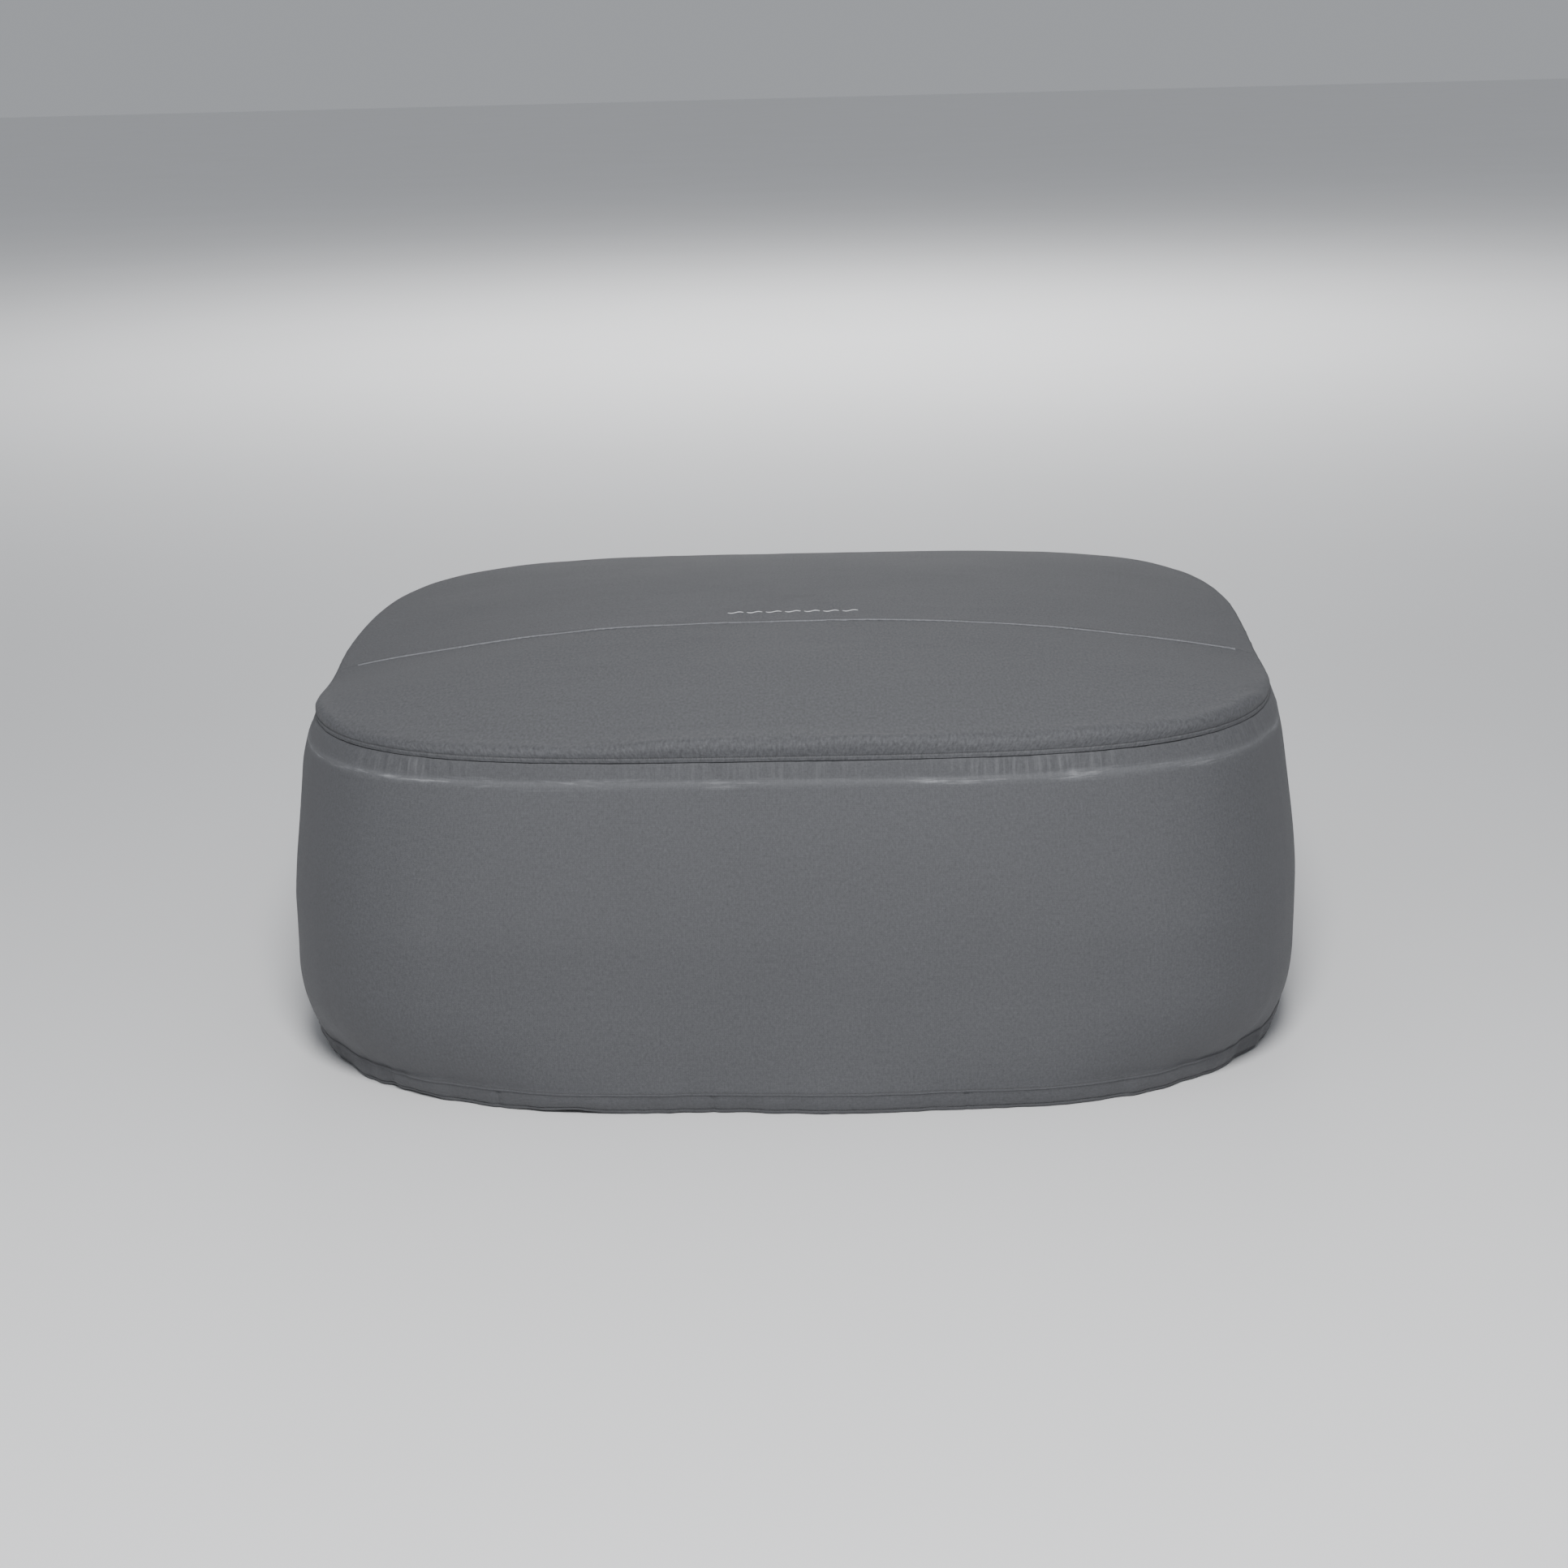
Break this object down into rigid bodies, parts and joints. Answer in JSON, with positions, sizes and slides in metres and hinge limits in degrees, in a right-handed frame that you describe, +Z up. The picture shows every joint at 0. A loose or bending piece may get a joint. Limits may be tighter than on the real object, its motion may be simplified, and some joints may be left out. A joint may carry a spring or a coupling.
{
  "type": "spa cover",
  "caption": "Full cover for a square inflatable spa: domed fabric top, insulated skirt, elastic hem and a hinged flap over the hose opening.",
  "frame": {"origin": "centre of the footprint, on the floor that the hem stands on", "axes": "+Z up, the front faces -Y, the hose flap is at the back on +Y"},
  "size_m": [1.834, 1.8491, 0.7034],
  "materials": {
    "coated_fabric": "blue-grey coated polyester, very fine plain weave, soft sheen",
    "binding": "dark woven polyester tape",
    "foam": "white closed-cell polyethylene foam",
    "foil": "crinkled metallised film",
    "elastic": "white knitted elastic band",
    "thread": "grey polyester thread",
    "hook_and_loop": "black hook and loop tape",
    "print": "pale screen print",
    "label": "blank white satin label"
  },
  "bodies": {
    "cover": {"top_panel_front": "coated_fabric", "top_panel_rear": "coated_fabric", "top_cross_seam": "coated_fabric", "top_wave_mark": "print", "top_edge_seam_tape": "binding", "top_foam_front": "foam", "top_foam_rear": "foam", "top_lining": "foil", "skirt_panel_wrap": "coated_fabric", "skirt_panel_rear": "coated_fabric", "skirt_seam_tapes": "coated_fabric", "skirt_lining_wrap": "foil", "skirt_lining_rear": "foil", "skirt_foam_front": "foam", "skirt_foam_left": "foam", "skirt_foam_right": "foam", "skirt_foam_rear_left": "foam", "skirt_foam_rear_right": "foam", "skirt_foam_rear_top": "foam", "skirt_foam_corner_front_left": "foam", "skirt_foam_corner_front_right": "foam", "skirt_foam_corner_rear_left": "foam", "skirt_foam_corner_rear_right": "foam", "hem_casing": "coated_fabric", "hem_elastic": "elastic", "hem_elastic_tacks": "thread", "care_label": "label", "opening_binding": "binding", "opening_loop_tapes": "hook_and_loop", "flap_top_tape": "binding"},
    "hose_flap": {"flap_panel": "coated_fabric", "flap_foam": "foam", "flap_lining": "foil", "flap_binding": "binding", "flap_hook_tapes": "hook_and_loop", "flap_pull_tab": "binding"}
  },
  "joints": [
    {"name": "hose_flap_hinge", "type": "hinge", "parent": "cover", "child": "hose_flap", "pos_m": [0, 0.9147, 0.453], "axis": [1, 0, 0], "range_deg": [0, 150]}
  ]
}
